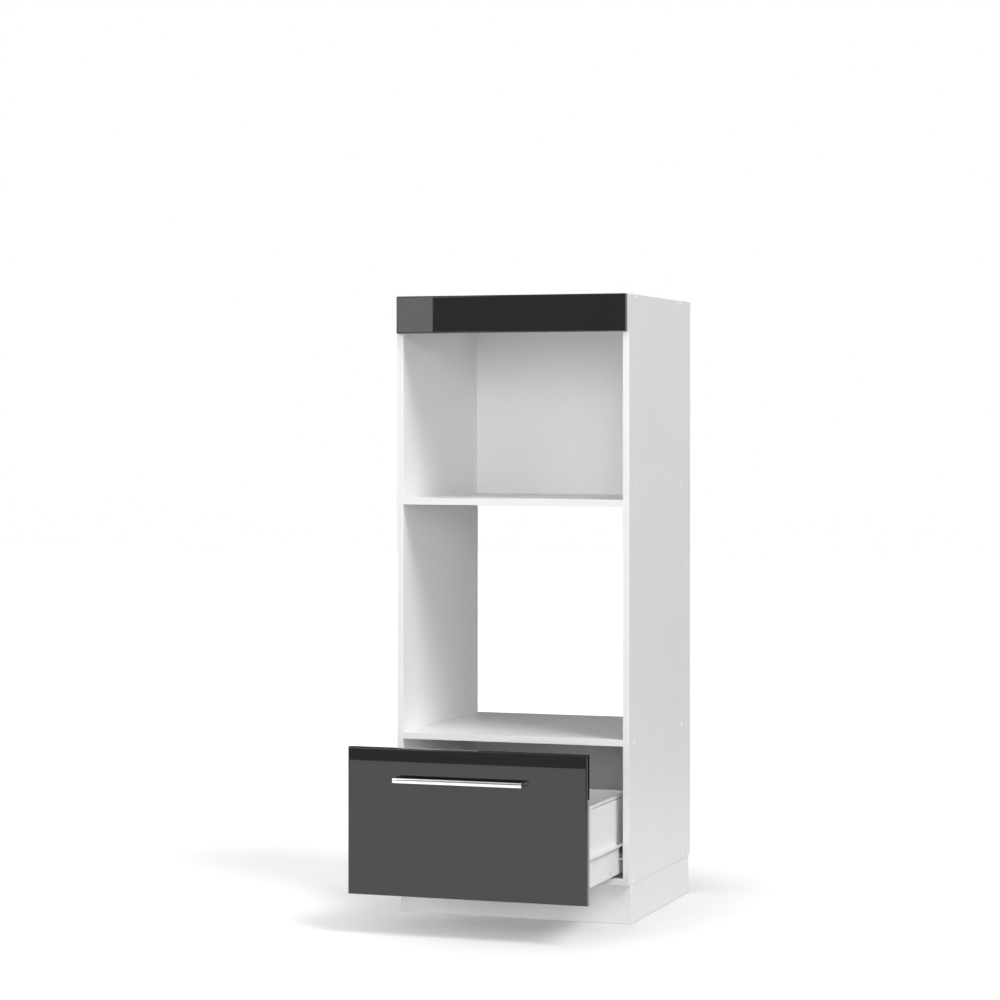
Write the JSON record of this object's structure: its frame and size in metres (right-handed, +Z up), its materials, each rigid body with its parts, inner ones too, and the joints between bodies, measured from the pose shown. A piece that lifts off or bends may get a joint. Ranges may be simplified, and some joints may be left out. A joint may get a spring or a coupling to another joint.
{
  "type": "microwave cabinet",
  "caption": "Tall white kitchen cabinet with a microwave niche, an open-backed oven niche and a deep gloss-fronted drawer on steel sides and roller runners.",
  "frame": {"origin": "on the floor, in the middle of the underside of the plinth's front board", "axes": "+Z up, +X to the right seen from the front, +Y from the front to the back; the drawer opens along -Y"},
  "size_m": [0.604, 0.924, 1.53],
  "materials": {
    "white_board": "16 mm chipboard faced with satin white melamine, edges banded white",
    "white_hardboard": "3 mm hardboard with a satin white face",
    "gloss_anthracite": "18 mm fibreboard with a mirror-gloss anthracite face",
    "drawer_steel": "cream epoxy powder coat, satin",
    "runner_steel": "white epoxy powder coat, satin",
    "zinc_steel": "bright zinc plate",
    "handle_chrome": "polished chrome on a zinc casting",
    "rail_coat": "white epoxy powder coat on a steel tube, satin",
    "roller_nylon": "black nylon",
    "cap_plastic": "white moulded plastic, satin"
  },
  "bodies": {
    "carcass": {"plinth_front_board": "white_board", "plinth_rear_board": "white_board", "plinth_side_board_left": "white_board", "plinth_side_board_right": "white_board", "side_panel_left": "white_board", "side_panel_right": "white_board", "top_panel": "white_board", "microwave_shelf": "white_board", "oven_shelf": "white_board", "bottom_panel": "white_board", "upper_back_panel": "white_hardboard", "drawer_bay_back_panel": "white_hardboard", "fascia_panel": "gloss_anthracite", "fascia_bracket_left": "zinc_steel", "fascia_bracket_right": "zinc_steel", "cabinet_runner_left": "runner_steel", "cabinet_runner_right": "runner_steel", "screw_cap_left_bottom_front": "cap_plastic", "screw_cap_left_bottom_rear": "cap_plastic", "screw_cap_left_oven_shelf_front": "cap_plastic", "screw_cap_left_oven_shelf_rear": "cap_plastic", "screw_cap_left_microwave_shelf_front": "cap_plastic", "screw_cap_left_microwave_shelf_rear": "cap_plastic", "screw_cap_left_top_front": "cap_plastic", "screw_cap_left_top_rear": "cap_plastic", "screw_cap_right_bottom_front": "cap_plastic", "screw_cap_right_bottom_rear": "cap_plastic", "screw_cap_right_oven_shelf_front": "cap_plastic", "screw_cap_right_oven_shelf_rear": "cap_plastic", "screw_cap_right_microwave_shelf_front": "cap_plastic", "screw_cap_right_microwave_shelf_rear": "cap_plastic", "screw_cap_right_top_front": "cap_plastic", "screw_cap_right_top_rear": "cap_plastic"},
    "drawer": {"drawer_front": "gloss_anthracite", "handle": "handle_chrome", "handle_screw_left": "zinc_steel", "handle_screw_right": "zinc_steel", "drawer_bottom": "white_board", "drawer_back": "white_board", "drawer_side_left": "drawer_steel", "drawer_side_right": "drawer_steel", "raised_side_board_left": "white_board", "raised_side_board_right": "white_board", "gallery_rail_left": "rail_coat", "gallery_rail_right": "rail_coat", "front_bracket_left": "zinc_steel", "front_bracket_right": "zinc_steel", "drawer_runner_left": "runner_steel", "drawer_runner_right": "runner_steel", "side_screw_left_1": "zinc_steel", "side_screw_left_2": "zinc_steel", "side_screw_right_1": "zinc_steel", "side_screw_right_2": "zinc_steel"},
    "front_roller_left_body": {"front_roller_left": "roller_nylon"},
    "front_roller_right_body": {"front_roller_right": "roller_nylon"},
    "rear_roller_left_body": {"rear_roller_left": "roller_nylon"},
    "rear_roller_right_body": {"rear_roller_right": "roller_nylon"}
  },
  "joints": [
    {"name": "drawer_slide", "type": "slide", "parent": "carcass", "child": "drawer", "axis": [0, -1, 0], "range_m": [-0.314, 0.061]},
    {"name": "front_roller_left_spin", "type": "hinge", "parent": "carcass", "child": "front_roller_left_body", "pos_m": [-0.279, -0.016, 0.1822], "axis": [1, 0, 0], "continuous": true},
    {"name": "front_roller_right_spin", "type": "hinge", "parent": "carcass", "child": "front_roller_right_body", "pos_m": [0.279, -0.016, 0.1822], "axis": [1, 0, 0], "continuous": true},
    {"name": "rear_roller_left_spin", "type": "hinge", "parent": "drawer", "child": "rear_roller_left_body", "pos_m": [-0.2765, 0.14, 0.1718], "axis": [1, 0, 0], "continuous": true},
    {"name": "rear_roller_right_spin", "type": "hinge", "parent": "drawer", "child": "rear_roller_right_body", "pos_m": [0.2765, 0.14, 0.1718], "axis": [1, 0, 0], "continuous": true}
  ],
  "couplings": [
    {"joint": "front_roller_left_spin", "follows": "drawer_slide", "rad_per_m": 100},
    {"joint": "front_roller_right_spin", "follows": "drawer_slide", "rad_per_m": 100},
    {"joint": "rear_roller_left_spin", "follows": "drawer_slide", "rad_per_m": 100},
    {"joint": "rear_roller_right_spin", "follows": "drawer_slide", "rad_per_m": 100}
  ]
}
